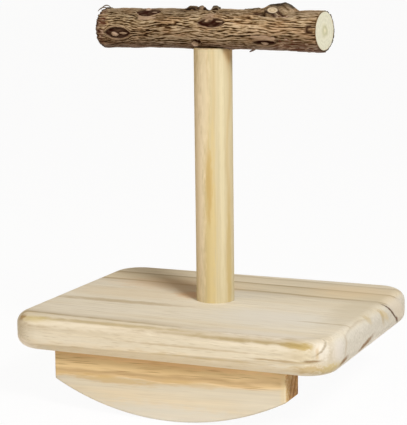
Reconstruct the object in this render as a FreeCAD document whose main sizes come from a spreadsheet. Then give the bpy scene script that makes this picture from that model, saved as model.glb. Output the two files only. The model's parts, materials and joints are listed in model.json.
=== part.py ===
import FreeCAD, Part
import math
import os
import Sketcher
from FreeCAD import Rotation, Vector

# Rocking tabletop T-stand for a small bird: a pine board on two arc-bottomed rockers carries a round
# post, and a piece of bark-covered branch lies across the post on one screw, on which it can be turned.
# +Z is up, X runs along the board, the front is at -Y, and the origin is on the floor under the post.

# Driving dimensions in millimetres, angles in degrees; names ending in share are plain ratios
SIZES = {
    # pine board
    "board_length": 175,
    "board_depth": 140,
    "board_thick": 18,
    "corner_radius": 17,
    "edge_round": 6,
    "edge_limit_share": 0.45,
    # rockers on edge under the board
    "rocker_length": 126,
    "rocker_height": 31,
    "rocker_thick": 18,
    "rocker_radius": 132,
    "rocker_inset": 7,
    "rocker_ease": 1,
    # blind dowels between rocker and board
    "dowel_radius": 4,
    "dowel_spacing": 70,
    "dowel_in_board": 10,
    "dowel_in_rocker": 18,
    "dowel_chamfer": 0.8,
    # round post
    "post_radius": 10,
    "post_length": 143,
    "post_chamfer": 0.4,
    "socket_depth": 10,
    # branch across the post
    "perch_radius": 10.5,
    "bark_thick": 1,
    "perch_left": 67,
    "perch_right": 65,
    "perch_turn": -8.85,
    "seat_depth": 1.2,
    # side-branch stub on the branch and the swelling of bark round it
    "stub_radius": 2.7,
    "stub_root": 35.3,
    "stub_length": 11.9,
    "stub_lean": 31,
    "stub_heading": -59,
    "swell_place": 43,
    "swell_half_length": 10,
    "swell_half_width": 6.5,
    "swell_rise": 3.2,
    # eye-shaped scars where twigs have dropped off
    "scar_half_width": 2.4,
    "scar_depth": 0.7,
    # countersunk screw from below into the post
    "foot_screw_length": 45,
    "foot_screw_radius": 2.5,
    "foot_head_radius": 4.8,
    "foot_head_height": 2.7,
    # pan-head screw from above through the branch, with its washer
    "perch_screw_length": 40,
    "perch_screw_radius": 2,
    "perch_head_radius": 3.8,
    "perch_head_height": 2.6,
    "perch_head_bevel": 0.9,
    "washer_radius": 4.6,
    "washer_thick": 0.9,
    "counterbore_depth": 5,
    # shared screw details
    "screw_tip": 6,
    "recess_width": 1.1,
    "recess_span": 4.6,
    "recess_depth": 1.5,
    # clearances
    "glue_gap": 0.05,
    "running_gap": 0.1,
    "seat_gap": 0.3,
    "end_gap": 0.5,
    "overrun": 2,
}

# Twig scars on the branch: the arm it is on, its place as a share of that arm, the angle up from
# the front in degrees, and its half length as a share of the perch radius
SCAR_SHARES = {
    "left_front": ("-dims.perch_left", 0.80, -13, 0.75),
    "left_top": ("-dims.perch_left", 0.54, 56, 0.71),
    "middle": ("dims.perch_right", 0.07, 22, 0.84),
    "right_low": ("dims.perch_right", 0.55, -36, 0.63),
}

doc = FreeCAD.newDocument("bird_stand")
sheet = doc.addObject("Spreadsheet::Sheet", "dims")
for row, (alias, value) in enumerate(SIZES.items(), start=1):
    sheet.set(f"A{row}", alias)
    sheet.set(f"B{row}", str(value))
    sheet.setAlias(f"B{row}", alias)
doc.recompute()


def size(alias):
    return float(sheet.get(alias))


# Places that several pieces share
BOARD_UNDERSIDE = "dims.rocker_height"
POST_FOOT = "(dims.rocker_height + dims.board_thick - dims.socket_depth)"
POST_TOP = f"({POST_FOOT} + dims.post_length)"
PERCH_AXIS = f"({POST_TOP} - dims.seat_depth + dims.perch_radius)"
WOOD_RADIUS = "(dims.perch_radius - dims.bark_thick)"
ROCKER_PLACE = "(dims.board_depth / 2 - dims.rocker_inset - dims.rocker_thick / 2)"
DOWEL_LENGTH = "(dims.dowel_in_board + dims.dowel_in_rocker)"
COUNTERBORE_FLOOR = "(dims.perch_radius - dims.counterbore_depth)"
DOWEL_SIDES = {"left": "-dims.dowel_spacing / 2", "right": "dims.dowel_spacing / 2"}


def new_body(label):
    body = doc.addObject("PartDesign::Body", label)
    body.Label = label
    return body


def sketch_on(body, name, role, lift="0"):
    """Sketch on one of the body's own origin planes, lifted along the plane's normal."""
    sketch = body.newObject("Sketcher::SketchObject", name)
    plane = next(item for item in body.Origin.OriginFeatures if item.Role == role)
    sketch.AttachmentSupport = [(plane, "")]
    sketch.MapMode = "FlatFace"
    sketch.setExpression("AttachmentOffset.Base.z", lift)
    return sketch


def drive(sketch, name, expression, *constraint):
    """Dimension that takes its value from an expression."""
    index = sketch.addConstraint(Sketcher.Constraint(*constraint))
    sketch.renameConstraint(index, name)
    sketch.setExpression(f"Constraints.{name}", expression)


def put_point(sketch, name, geometry, end, across, up, start=Vector(1, 1, 0)):
    """Place one point of the sketch by two expressions, or on an axis where one is zero."""
    if across == "0":
        sketch.addConstraint(Sketcher.Constraint("PointOnObject", geometry, end, -2))
    else:
        drive(sketch, f"{name}_across", across, "DistanceX", -1, 1, geometry, end, start.x)
    if up == "0":
        sketch.addConstraint(Sketcher.Constraint("PointOnObject", geometry, end, -1))
    else:
        drive(sketch, f"{name}_up", up, "DistanceY", -1, 1, geometry, end, start.y)


def add_circle(sketch, name, radius, across="0", up="0"):
    index = sketch.addGeometry(Part.Circle(Vector(0, 0, 0), Vector(0, 0, 1), 1.0))
    drive(sketch, f"{name}_radius", radius, "Radius", index, 1.0)
    put_point(sketch, name, index, 3, across, up)


def add_chain(sketch, corners):
    """Closed chain of straight edges through corners given as pairs of expressions."""
    count = len(corners)
    turns = [2 * math.pi * i / count for i in range(count)]
    start = [Vector(math.cos(turn), math.sin(turn), 0) for turn in turns]
    for i in range(count):
        sketch.addGeometry(Part.LineSegment(start[i], start[(i + 1) % count]))
    for i, (across, up) in enumerate(corners):
        sketch.addConstraint(Sketcher.Constraint("Coincident", i, 2, (i + 1) % count, 1))
        put_point(sketch, f"corner{i}", i, 1, across, up)


def rectangle(length, width):
    """Corners of a rectangle about the sketch's origin."""
    signs = (("-", "-"), ("", "-"), ("", ""), ("-", ""))
    return [(f"{left}{length} / 2", f"{low}{width} / 2") for left, low in signs]


def pad(body, sketch, length, back=None):
    """Solid along the sketch's normal, and the other way too where back is given."""
    feature = body.newObject("PartDesign::Pad", f"{sketch.Name}_pad")
    feature.Profile = sketch
    feature.setExpression("Length", length)
    if back:
        feature.SideType = "Two sides"
        feature.setExpression("Length2", back)
    doc.recompute()
    return feature


def pocket(body, sketch, depth, towards_normal=False, back=None):
    """Cut against the sketch's normal, or along it; it has to take material away."""
    before = body.Shape.Volume
    feature = body.newObject("PartDesign::Pocket", f"{sketch.Name}_pocket")
    feature.Profile = sketch
    feature.Reversed = towards_normal
    feature.setExpression("Length", depth)
    if back:
        feature.SideType = "Two sides"
        feature.setExpression("Length2", back)
    doc.recompute()
    if body.Shape.Volume >= before:
        raise RuntimeError(f"{feature.Name} cuts nothing")
    return feature


def turn_about_z(body, name, kind, corners):
    """Closed profile of (radius, height) corners revolved about the body's Z axis."""
    sketch = sketch_on(body, f"{name}_profile", "XZ_Plane")
    add_chain(sketch, corners)
    feature = body.newObject(f"PartDesign::{kind}", name)
    feature.Profile = sketch
    feature.ReferenceAxis = (sketch, ["V_Axis"])
    doc.recompute()
    return feature


def turned_solid(body, corners):
    return turn_about_z(body, f"{body.Name}_turned", "Revolution", corners)


def turned_cut(body, name, corners):
    before = body.Shape.Volume
    feature = turn_about_z(body, name, "Groove", corners)
    if body.Shape.Volume >= before:
        raise RuntimeError(f"{name} cuts nothing")
    return feature


def round_edges(body, name, radius, wanted):
    """Round the edges of the body's present shape that the given test picks."""
    base = body.Tip
    picks = [f"Edge{i}" for i, edge in enumerate(base.Shape.Edges, start=1) if wanted(edge)]
    feature = body.newObject("PartDesign::Fillet", name)
    feature.Base = (base, picks)
    feature.setExpression("Radius", radius)
    doc.recompute()
    return feature


def bore(body, name, radius, depth, lift, towards_normal=False, across="0", up="0"):
    """Round upright hole from a level, downwards or upwards."""
    sketch = sketch_on(body, name, "XY_Plane", lift)
    add_circle(sketch, "hole", radius, across, up)
    return pocket(body, sketch, depth, towards_normal)


def is_upright(edge):
    box = edge.BoundBox
    return box.XLength + box.YLength < box.ZLength


def is_level(edge):
    box = edge.BoundBox
    return box.ZLength < box.XLength + box.YLength


# Pine board, with the post's socket, the foot screw's hole and the rocker dowels' holes
def make_board():
    body = new_body("base_board")
    sketch = sketch_on(body, "board_outline", "XY_Plane")
    add_chain(sketch, rectangle("dims.board_length", "dims.board_depth"))
    pad(body, sketch, "dims.board_thick")
    round_edges(body, "board_corners", "dims.corner_radius", is_upright)
    edge_limit = "dims.board_thick * dims.edge_limit_share"
    round_edges(body, "board_edges", f"min(dims.edge_round; {edge_limit})", is_level)
    bore(body, "post_socket", "dims.post_radius + dims.glue_gap", "dims.socket_depth", "dims.board_thick")
    screw_hole = "dims.foot_screw_radius + dims.glue_gap"
    bore(body, "foot_screw_hole", screw_hole, "dims.board_thick", "dims.board_thick")
    turned_cut(body, "foot_countersink", [
        ("0", "0"),
        ("dims.foot_head_radius + dims.glue_gap", "0"),
        (screw_hole, "dims.foot_head_height"),
        ("0", "dims.foot_head_height"),
    ])
    for side, place in (("front", f"-{ROCKER_PLACE}"), ("rear", ROCKER_PLACE)):
        for hand, along in DOWEL_SIDES.items():
            bore(body, f"{side}_{hand}_dowel_hole", "dims.dowel_radius + dims.glue_gap",
                 "dims.dowel_in_board + dims.end_gap", "0", True, along, place)
    body.setExpression("Placement.Base.z", BOARD_UNDERSIDE)
    return body


# Rocker: flat top under the board, upright ends, and one arc for the underside
def make_rocker(label, place):
    body = new_body(label)
    sketch = sketch_on(body, f"{label}_outline", "XZ_Plane")
    half, height, radius = size("rocker_length") / 2, size("rocker_height"), size("rocker_radius")
    rise = radius - math.sqrt(radius ** 2 - half ** 2)
    top_right, top_left = Vector(half, height, 0), Vector(-half, height, 0)
    low_left, lowest, low_right = Vector(-half, rise, 0), Vector(0, 0, 0), Vector(half, rise, 0)
    sketch.addGeometry(Part.LineSegment(top_right, top_left))
    sketch.addGeometry(Part.LineSegment(top_left, low_left))
    sketch.addGeometry(Part.Arc(low_left, lowest, low_right))
    sketch.addGeometry(Part.LineSegment(low_right, top_right))
    for first, second, end in ((0, 1, 1), (1, 2, 1), (2, 3, 1), (3, 0, 1)):
        sketch.addConstraint(Sketcher.Constraint("Coincident", first, 2, second, end))
    sketch.addConstraint(Sketcher.Constraint("Vertical", 1))
    sketch.addConstraint(Sketcher.Constraint("Vertical", 3))
    put_point(sketch, "top_right", 0, 1, "dims.rocker_length / 2", "dims.rocker_height", top_right)
    put_point(sketch, "top_left", 0, 2, "-dims.rocker_length / 2", "dims.rocker_height", top_left)
    put_point(sketch, "arc_middle", 2, 3, "0", "dims.rocker_radius", Vector(0, radius, 0))
    drive(sketch, "arc_radius", "dims.rocker_radius", "Radius", 2, radius)
    pad(body, sketch, "dims.rocker_thick / 2", "dims.rocker_thick / 2")
    round_edges(body, f"{label}_ease", "dims.rocker_ease",
                lambda edge: edge.CenterOfMass.z < height - size("rocker_ease"))
    for hand, along in DOWEL_SIDES.items():
        bore(body, f"{label}_{hand}_hole", "dims.dowel_radius + dims.glue_gap",
             "dims.dowel_in_rocker + dims.end_gap", "dims.rocker_height", False, along)
    body.setExpression("Placement.Base.y", place)
    return body


# Two blind dowels with bevelled ends, half in the rocker and half in the board
def make_dowels(label, place):
    dowels = []
    for hand, along in DOWEL_SIDES.items():
        body = new_body(f"{label}_{hand}")
        turned_solid(body, [
            ("0", "0"),
            ("dims.dowel_radius - dims.dowel_chamfer", "0"),
            ("dims.dowel_radius", "dims.dowel_chamfer"),
            ("dims.dowel_radius", f"{DOWEL_LENGTH} - dims.dowel_chamfer"),
            ("dims.dowel_radius - dims.dowel_chamfer", DOWEL_LENGTH),
            ("0", DOWEL_LENGTH),
        ])
        body.setExpression("Placement.Base.x", along)
        body.setExpression("Placement.Base.y", place)
        body.setExpression("Placement.Base.z", "dims.rocker_height - dims.dowel_in_rocker")
        dowels.append(body)
    pair = doc.addObject("Part::Compound", label)
    pair.Label = label
    pair.Links = dowels
    return pair


# Round post with a pilot hole in each end
def make_post():
    body = new_body("post")
    turned_solid(body, [
        ("0", "0"),
        ("dims.post_radius - dims.post_chamfer", "0"),
        ("dims.post_radius", "dims.post_chamfer"),
        ("dims.post_radius", "dims.post_length - dims.post_chamfer"),
        ("dims.post_radius - dims.post_chamfer", "dims.post_length"),
        ("0", "dims.post_length"),
    ])
    foot_grip = "dims.foot_screw_length - (dims.board_thick - dims.socket_depth)"
    bore(body, "foot_pilot", "dims.foot_screw_radius + dims.glue_gap",
         f"{foot_grip} + dims.end_gap", "0", True)
    top_grip = (f"dims.perch_screw_length - dims.perch_head_height - dims.washer_thick"
                f" - ({COUNTERBORE_FLOOR} + dims.perch_radius - dims.seat_depth)")
    bore(body, "perch_pilot", "dims.perch_screw_radius + dims.glue_gap", f"{top_grip} + dims.end_gap",
         "dims.post_length")
    body.setExpression("Placement.Base.z", POST_FOOT)
    return body


# Cross recess cut into a screw's face, downwards or upwards from a level
def cut_recess(body, lift, towards_normal):
    for name, length, width in (("along", "dims.recess_span", "dims.recess_width"),
                                ("across", "dims.recess_width", "dims.recess_span")):
        sketch = sketch_on(body, f"{body.Name}_recess_{name}", "XY_Plane", lift)
        add_chain(sketch, rectangle(length, width))
        pocket(body, sketch, "dims.recess_depth", towards_normal)


# Countersunk wood screw, its head flush with the board's underside and its point up in the post
def make_post_screw():
    body = new_body("post_screw")
    turned_solid(body, [
        ("0", "0"),
        ("dims.foot_head_radius", "0"),
        ("dims.foot_screw_radius", "dims.foot_head_height"),
        ("dims.foot_screw_radius", "dims.foot_screw_length - dims.screw_tip"),
        ("0", "dims.foot_screw_length"),
    ])
    cut_recess(body, "0", True)
    body.setExpression("Placement.Base.z", BOARD_UNDERSIDE)
    return body


# Pan-head wood screw down through the branch, measured from the top of its head
def make_perch_screw():
    body = new_body("perch_screw")
    turned_solid(body, [
        ("0", "0"),
        ("dims.perch_head_radius - dims.perch_head_bevel", "0"),
        ("dims.perch_head_radius", "-dims.perch_head_bevel"),
        ("dims.perch_head_radius", "-dims.perch_head_height"),
        ("dims.perch_screw_radius", "-dims.perch_head_height"),
        ("dims.perch_screw_radius", "-dims.perch_screw_length + dims.screw_tip"),
        ("0", "-dims.perch_screw_length"),
    ])
    cut_recess(body, "0", False)
    body.setExpression("Placement.Base.z",
                       f"{PERCH_AXIS} + {COUNTERBORE_FLOOR} + dims.washer_thick + dims.perch_head_height")
    return body


# Plain washer on the floor of the branch's counterbore
def make_washer():
    body = new_body("perch_washer")
    sketch = sketch_on(body, "washer_ring", "XY_Plane")
    add_circle(sketch, "outer", "dims.washer_radius")
    add_circle(sketch, "inner", "dims.perch_screw_radius + dims.running_gap")
    pad(body, sketch, "dims.washer_thick")
    body.setExpression("Placement.Base.z", f"{PERCH_AXIS} + {COUNTERBORE_FLOOR}")
    return body


# An eye-shaped hollow in the bark, its short axis pointing out from the branch at an angle up from the front
def cut_scar(body, name, along, angle, half_length):
    scar = body.newObject("PartDesign::SubtractiveEllipsoid", f"scar_{name}")
    scar.setExpression("Radius1", "dims.scar_depth")
    scar.setExpression("Radius2", half_length)
    scar.setExpression("Radius3", "dims.scar_half_width")
    scar.Placement.Rotation = Rotation(Vector(1, 0, 0), 90 - angle)
    scar.setExpression("Placement.Base.x", along)
    scar.setExpression("Placement.Base.y", f"-dims.perch_radius * cos({angle})")
    scar.setExpression("Placement.Base.z", f"dims.perch_radius * sin({angle})")
    doc.recompute()


# The side-branch stub is rooted on the branch's axis and leans away from the vertical towards its
# heading, an angle turned from the right end that is negative towards the front
def lean_stub(feature, radius, length):
    heading = math.radians(size("stub_heading"))
    feature.setExpression("Radius", radius)
    feature.setExpression("Height", length)
    feature.Placement.Rotation = Rotation(Vector(-math.sin(heading), math.cos(heading), 0), 1)
    feature.setExpression("Placement.Rotation.Angle", "dims.stub_lean")
    feature.setExpression("Placement.Base.x", "dims.stub_root")


# Flat seat on the post, hole for the screw's shank, and counterbore for its head, in wood and bark alike
def drill_branch(body):
    bore(body, f"{body.Name}_seat", "dims.post_radius + dims.seat_gap", "dims.seat_depth + dims.overrun",
         "-dims.perch_radius + dims.seat_depth")
    bore(body, f"{body.Name}_counterbore", "dims.washer_radius + dims.seat_gap",
         "dims.counterbore_depth + dims.overrun", COUNTERBORE_FLOOR, True)


def place_branch(body):
    body.setExpression("Placement.Base.z", PERCH_AXIS)
    body.setExpression("Placement.Rotation.Angle", "dims.perch_turn")


# Round branch wood with the stub of a side branch
def make_perch_wood():
    body = new_body("perch_wood")
    sketch = sketch_on(body, "branch_round", "YZ_Plane")
    add_circle(sketch, "wood", WOOD_RADIUS)
    pad(body, sketch, "dims.perch_right", "dims.perch_left")
    stub = body.newObject("PartDesign::AdditiveCylinder", "branch_stub")
    lean_stub(stub, "dims.stub_radius", "dims.stub_length")
    doc.recompute()
    drill_branch(body)
    bore(body, "shank_hole", "dims.perch_screw_radius + dims.running_gap",
         f"{COUNTERBORE_FLOOR} + dims.perch_radius", COUNTERBORE_FLOOR)
    place_branch(body)
    return body


# Bark round the wood, swollen about the stub and open at the twig scars
def make_perch_bark():
    body = new_body("perch_bark")
    sketch = sketch_on(body, "bark_round", "YZ_Plane")
    add_circle(sketch, "bark", "dims.perch_radius")
    pad(body, sketch, "dims.perch_right", "dims.perch_left")
    swell = body.newObject("PartDesign::AdditiveEllipsoid", "bark_swelling")
    swell.setExpression("Radius1", "dims.perch_radius / 2 + dims.swell_rise")
    swell.setExpression("Radius2", "dims.swell_half_length")
    swell.setExpression("Radius3", "dims.swell_half_width")
    swell.setExpression("Placement.Base.x", "dims.swell_place")
    swell.setExpression("Placement.Base.z", "dims.perch_radius / 2")
    doc.recompute()
    for name, (arm, along_share, angle, half_share) in SCAR_SHARES.items():
        cut_scar(body, name, f"{arm} * {along_share}", angle, f"dims.perch_radius * {half_share}")
    core = sketch_on(body, "bark_core", "YZ_Plane")
    add_circle(core, "core", f"{WOOD_RADIUS} + dims.glue_gap")
    pocket(body, core, "dims.perch_left + dims.overrun", False, "dims.perch_right + dims.overrun")
    stub = body.newObject("PartDesign::SubtractiveCylinder", "stub_opening")
    lean_stub(stub, "dims.stub_radius + dims.glue_gap", "dims.stub_length + dims.overrun")
    doc.recompute()
    drill_branch(body)
    place_branch(body)
    return body


pieces = [
    make_board(),
    make_rocker("front_rocker", f"-{ROCKER_PLACE}"),
    make_rocker("rear_rocker", ROCKER_PLACE),
    make_dowels("front_rocker_dowels", f"-{ROCKER_PLACE}"),
    make_dowels("rear_rocker_dowels", ROCKER_PLACE),
    make_post(),
    make_post_screw(),
    make_perch_wood(),
    make_perch_bark(),
    make_washer(),
    make_perch_screw(),
]
doc.recompute()

for item in doc.Objects:
    if "Invalid" in item.State or "Error" in item.State:
        raise RuntimeError(f"{item.Label} failed: {item.State}")
for piece in pieces:
    if piece.Shape.isNull() or not piece.Shape.isValid():
        raise RuntimeError(f"{piece.Label} has no valid shape")

os.makedirs("parts", exist_ok=True)
for piece in pieces:
    piece.Shape.exportStep(f"parts/{piece.Label}.step")
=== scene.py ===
"""Looks of a rocking wooden bird T-stand: sanded pine, a bark-covered branch and zinc-plated screws."""

import json
import math

import bpy
import numpy as np
from mathutils import Matrix, Vector


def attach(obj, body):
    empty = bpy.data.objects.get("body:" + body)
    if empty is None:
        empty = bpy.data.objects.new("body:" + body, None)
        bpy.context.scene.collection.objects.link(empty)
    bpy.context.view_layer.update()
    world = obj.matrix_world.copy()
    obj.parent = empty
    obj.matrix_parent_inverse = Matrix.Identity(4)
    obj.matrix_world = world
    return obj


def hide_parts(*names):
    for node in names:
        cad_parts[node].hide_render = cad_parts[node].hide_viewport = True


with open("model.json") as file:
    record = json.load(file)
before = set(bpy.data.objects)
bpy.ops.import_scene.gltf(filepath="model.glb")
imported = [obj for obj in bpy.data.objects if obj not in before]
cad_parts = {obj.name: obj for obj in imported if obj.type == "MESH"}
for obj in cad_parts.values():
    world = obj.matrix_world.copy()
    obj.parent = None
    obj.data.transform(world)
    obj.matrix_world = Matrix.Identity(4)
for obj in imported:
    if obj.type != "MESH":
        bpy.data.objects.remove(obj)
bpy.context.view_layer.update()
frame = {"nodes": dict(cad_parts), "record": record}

MM = 0.001

# Camera, fitted to the object's outlines in a picture of 407 by 425 pixels
PICTURE_LONG_SIDE = 425
FOCAL_PIXELS = 1535.5
SENSOR_WIDTH = 36
CAMERA_YAW = math.radians(23.563)
CAMERA_PITCH = math.radians(9.402)
CAMERA_ROLL = math.radians(-0.687)
CAMERA_DISTANCE = 805.3 * MM
CAMERA_AIM = Vector((0, 0, 100 * MM))
AIM_RIGHT = 5.81 * MM
AIM_UP = 4.31 * MM

# Branch: its line comes from the frame, its radii and arms in mm are the solids' own
GRIP = next(mount for mount in frame["record"]["mounts"] if mount["name"] == "perch_grip")
BRANCH_ALONG = -Vector(GRIP["axis"]).normalized()
BRANCH_UP = Vector((0, 0, 1))
BRANCH_FRONT = BRANCH_ALONG.cross(BRANCH_UP)
BRANCH_HEIGHT = GRIP["pos_m"][2]
BRANCH_TURN = math.atan2(BRANCH_ALONG.y, BRANCH_ALONG.x)
BRANCH_LEFT = 67.0
BRANCH_RIGHT = 65.0
BARK_RADIUS = 10.5
WOOD_RADIUS = 9.5
GLUE_GAP = 0.05
SEAT_RADIUS = 10.3
SEAT_LEVEL = -9.3
COUNTERBORE_RADIUS = 4.9
COUNTERBORE_FLOOR = 5.5
SWELL_PLACE = 43.0
SWELL_LIFT = 5.25
SWELL_LONG, SWELL_WIDE, SWELL_HIGH = 10.0, 6.5, 8.45
STUB_ROOT = 35.3
STUB_LENGTH = 11.9
STUB_RADIUS = 2.7
STUB_LEAN = math.radians(31)
STUB_HEADING = math.radians(-59)


def linear(code):
    """An sRGB hex colour as linear red, green, blue and alpha."""
    shares = [int(code[i:i + 2], 16) / 255 for i in (1, 3, 5)]
    return tuple(c / 12.92 if c <= 0.04045 else ((c + 0.055) / 1.055) ** 2.4 for c in shares) + (1.0,)


def blended(first, second, share):
    """The colour that lies that share of the way from the first linear colour to the second."""
    return tuple(a + (b - a) * share for a, b in zip(first, second))


def fill(tree, node, inputs):
    """Fills a node's inputs with links or values; a hex colour among these is made linear."""
    for socket, value in inputs.items():
        if isinstance(value, bpy.types.NodeSocket):
            tree.links.new(value, node.inputs[socket])
        else:
            node.inputs[socket].default_value = linear(value) if isinstance(value, str) else value


def add(tree, kind, inputs=None, stops=None, **settings):
    """Adds a node, sets its properties, fills its inputs, and sets a ramp's stops, hex or linear colours."""
    made = tree.nodes.new(kind)
    for name, value in settings.items():
        setattr(made, name, value)
    fill(tree, made, inputs or {})
    if stops:
        elements = made.color_ramp.elements
        while len(elements) < len(stops):
            elements.new(1.0)
        for element, (place, colour) in zip(elements, stops):
            element.position = place
            element.color = linear(colour) if isinstance(colour, str) else colour
    return made


def new_object(name, data):
    """A new object in the scene for a mesh, a lens or a lamp."""
    made = bpy.data.objects.new(name, data)
    bpy.context.scene.collection.objects.link(made)
    return made


def new_material(name):
    """An empty node material with its shader and output joined, returned with its tree and shader."""
    material = bpy.data.materials.new(name)
    material.use_nodes = True
    tree = material.node_tree
    tree.nodes.clear()
    shader = add(tree, "ShaderNodeBsdfPrincipled")
    add(tree, "ShaderNodeOutputMaterial", {"Surface": shader.outputs[0]})
    return material, tree, shader


# Growth rings of pine: where a ring's colour starts to deepen, in mm before its edge, and how deep it gets
RING_STEPS = [(3.2, 0.04), (1.2, 0.35), (0.3, 1.0)]

# Mm of plain wood inside a log's first ring and outside its last one
INNER_WOOD = 6
OUTER_WOOD = 2

# Logs that the pieces were sawn from. A log has a point of its pith in mm, the pith's turn in degrees from X,
# the mm by which slow noise swings its rings (wobble) and quick noise bends them (ripple), and the mm over
# which a ring's dark line ends (edge). It has the colours of pale, tan and late wood and the tint of its end
# grain. Fade is how far rings pale on end grain, and dash the shares of dashes in pale and in tan wood.
# A ring has its radius in mm, the strength of its dark line and the tan share of the wood inside it. A stain
# has a place in mm, a turn about X in degrees, three reaches in mm, a colour and a strength; some stains are
# painted light and painted shade
BOARD_LOG = {
    "pith": (0, -18, -70), "turn": (0, 0, -2.86), "wobble": 1.1, "ripple": 0.6, "edge": 0.25,
    "pale": "#ECE8DA", "tan": "#D5C49E", "late": "#957A44", "end": "#D8D5D1",
    "fade": 0.92, "dash": (0.4, 0.35),
    "rings": [(103.4, 0.45, 0.1), (111.4, 0.35, 0.2), (118.5, 0.42, 0.15), (127.7, 0.85, 0.3),
              (135.1, 0.8, 0.7), (143.0, 0.5, 0.6), (151.0, 0.35, 0.4)],
    "stains_and_painted_light": [
        # front face, and lower edges lightened and warmed by painted bounce light, painted reflection and
        # painted shade
        ((24, -72, 39), 0, (110, 5, 12), "#C9BD9F", 0.3),
        # painted warm shade and painted reflection of the rocker along the board's lower front edge
        ((0, -69, 33.5), 0, (150, 7, 6), "#E6CC98", 0.28),
        # painted bounce light on the lower round-over of the left corner
        ((-80, -64, 33), 0, (14, 14, 6), "#FFF8EC", 0.8),
        # painted bounce light along the lower edge of the right end
        ((87, 0, 32.5), 0, (8, 90, 4), "#FFF8EC", 0.6),
        # deck, with painted warm shade where the post's shadow falls
        # painted warm shade along the post's cast shadow on the deck
        ((-34, 26, 49), 0, (52, 24, 3), "#D8B88C", 0.55),
        ((-45, -2, 49), 0, (60, 18, 3), "#E0CCA6", 0.4),
        # painted warm shade in the post's shadow by its foot
        ((-14, 7, 49), 0, (18, 13, 3), "#D8A870", 0.65),
        ((42, -30, 49), 0, (60, 26, 3), "#DFDCD2", 0.6),
        ((62, 42, 49), 0, (36, 22, 3), "#E2CBA2", 0.5),
        ((78, 0, 49), 0, (18, 60, 4), "#CABFA4", 0.55),
        # front face, its top edge, and one line on the deck
        ((15, -70, 41), 0, (60, 3, 0.8), "#BBA67E", 0.5),
        ((27, -70, 36.2), 0, (45, 3, 0.9), "#B8A57C", 0.5),
        ((67, -70, 38.7), 0, (28, 4, 0.9), "#A88E62", 0.7),
        ((10, -65.5, 47.5), 0, (76, 6, 4), "#E2DBC8", 0.6),
        ((48, -62, 49), 0, (52, 8, 3), "#E0DACC", 0.65),
        ((82, -63, 42), 0, (15, 14, 13), "#BBAD90", 0.6),
        ((74, -70, 41.5), 0, (11, 4, 8), "#CDC0A0", 0.5),
        ((73, -69, 46.6), 0, (15, 4.5, 2.8), "#B29A58", 0.8),
        ((42, -69.3, 46.9), 0, (60, 2.8, 1.6), "#98824C", 0.7),
        ((-46, -21.5, 49), 0, (62, 5.4, 2), "#AE9666", 0.6),
        ((-57, -66, 46.8), 0, (50, 8.5, 6.2), "#DED6C2", 0.75),
        ((-40, -69.5, 46), 0, (66, 4, 2.6), "#E4DCC8", 0.7),
        ((-30, -67.4, 48.4), 0, (74, 2.8, 1.5), "#A08A54", 0.6),
        ((-74, -67.5, 47.6), 0, (18, 4, 2.2), "#C6B472", 0.55),
        ((-79, -64, 46.5), 0, (4.5, 3.4, 3), "#9A7636", 0.9),
        # right end with its crack and streaks, and the foot of its near corner
        ((87.5, 40, 43.5), -29.4, (8, 26, 9), "#DCCFB8", 0.6),
        ((87.5, 18, 44), -29.4, (6, 14, 3), "#CDB886", 0.6),
        ((87.5, 31.0, 42.6), -33, (6, 27, 1.0), "#583C20", 1.0),
        ((87.5, 40.5, 36.6), -29.4, (6, 4.5, 1.9), "#66472A", 1.0),
        ((87.5, -14.0, 36.0), 8, (3, 18, 2.0), "#86653C", 0.9),
        ((87.5, -48.7, 35.8), 8, (3, 9, 2.0), "#86653C", 0.9),
        ((84.0, -60.0, 35.0), 8, (8, 14, 4), "#BCA662", 0.65),
        ((77, -68, 35.2), 0, (15, 6, 3.2), "#BEA672", 0.7),
        ((86.0, -6.5, 47.0), -45, (5, 7, 3.5), "#C4B286", 0.6),
        ((87.5, 14.4, 44.0), -60, (4, 9, 3), "#B8A272", 0.6),
        ((87.5, -45.0, 43.0), 70, (4, 11, 2), "#B8A688", 0.5),
        ((87.5, -55.0, 43.0), 0, (5, 10, 8), "#DCD6CC", 0.6),
        # near right corner, and one line on the deck
        ((82.2, -65.4, 44.4), 0, (6, 6, 8), "#F0EEE6", 0.42),
        ((80.4, -68.0, 44.0), 0, (1.3, 4, 6.5), "#C2A676", 0.6),
        ((78.4, -68.2, 39.4), 0, (8, 5, 0.9), "#86683E", 0.75),
        ((73, -31.3, 49), 0, (28, 1.6, 2), "#AE9A70", 0.5),
        ((83.2, -65.3, 44.2), 44, (7, 9.0, 0.75), "#84704A", 0.6),
    ],
}
ROCKER_LOG = {
    "pith": (0, -5, -5), "turn": (0, -2.0, 0), "wobble": 2.6, "ripple": 1.4, "edge": 0.3,
    "pale": "#DAD3C0", "tan": "#E6CC9B", "late": "#8A5E28", "end": "#D2A550",
    "fade": 0.0, "dash": (0.12, 0.9),
    "rings": [(47.5, 1.0, 0.8), (52.5, 1.0, 0.8), (57.0, 0.9, 0.5), (63.4, 0.1, 0.0), (64.9, 0.48, 0.9),
              (69.0, 0.4, 0.95), (74.0, 0.5, 0.9)],
    "stains_and_painted_light": [
        ((-30, -63, 18.4), 0, (44, 5, 3.0), "#C8AB72", 0.65),
        ((13, -63, 20.4), 0, (24, 5, 2.4), "#CCB07A", 0.5),
        ((0, -63, 3), 0, (75, 5, 9), "#D5D5CE", 0.55),
        # painted light lifting the board's shadow off the rocker's top band
        ((0, -63, 30.5), 0, (110, 5, 4), "#F6CB98", 0.5),
        ((61.8, -63, 20), 0, (2.6, 5, 18), "#E0CFA6", 0.5),
        # painted light lifting the board's shadow off the rocker's right part
        ((48, -63, 27), 0, (22, 8, 6), "#FFE9BE", 0.2),
        ((0, -63, 27), 0, (24, 8, 5), "#C6A46A", 0.18),
    ],
}
REAR_LOG = dict(ROCKER_LOG, pith=(0, 5, -9), turn=(0, 1.5, 0))
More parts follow.
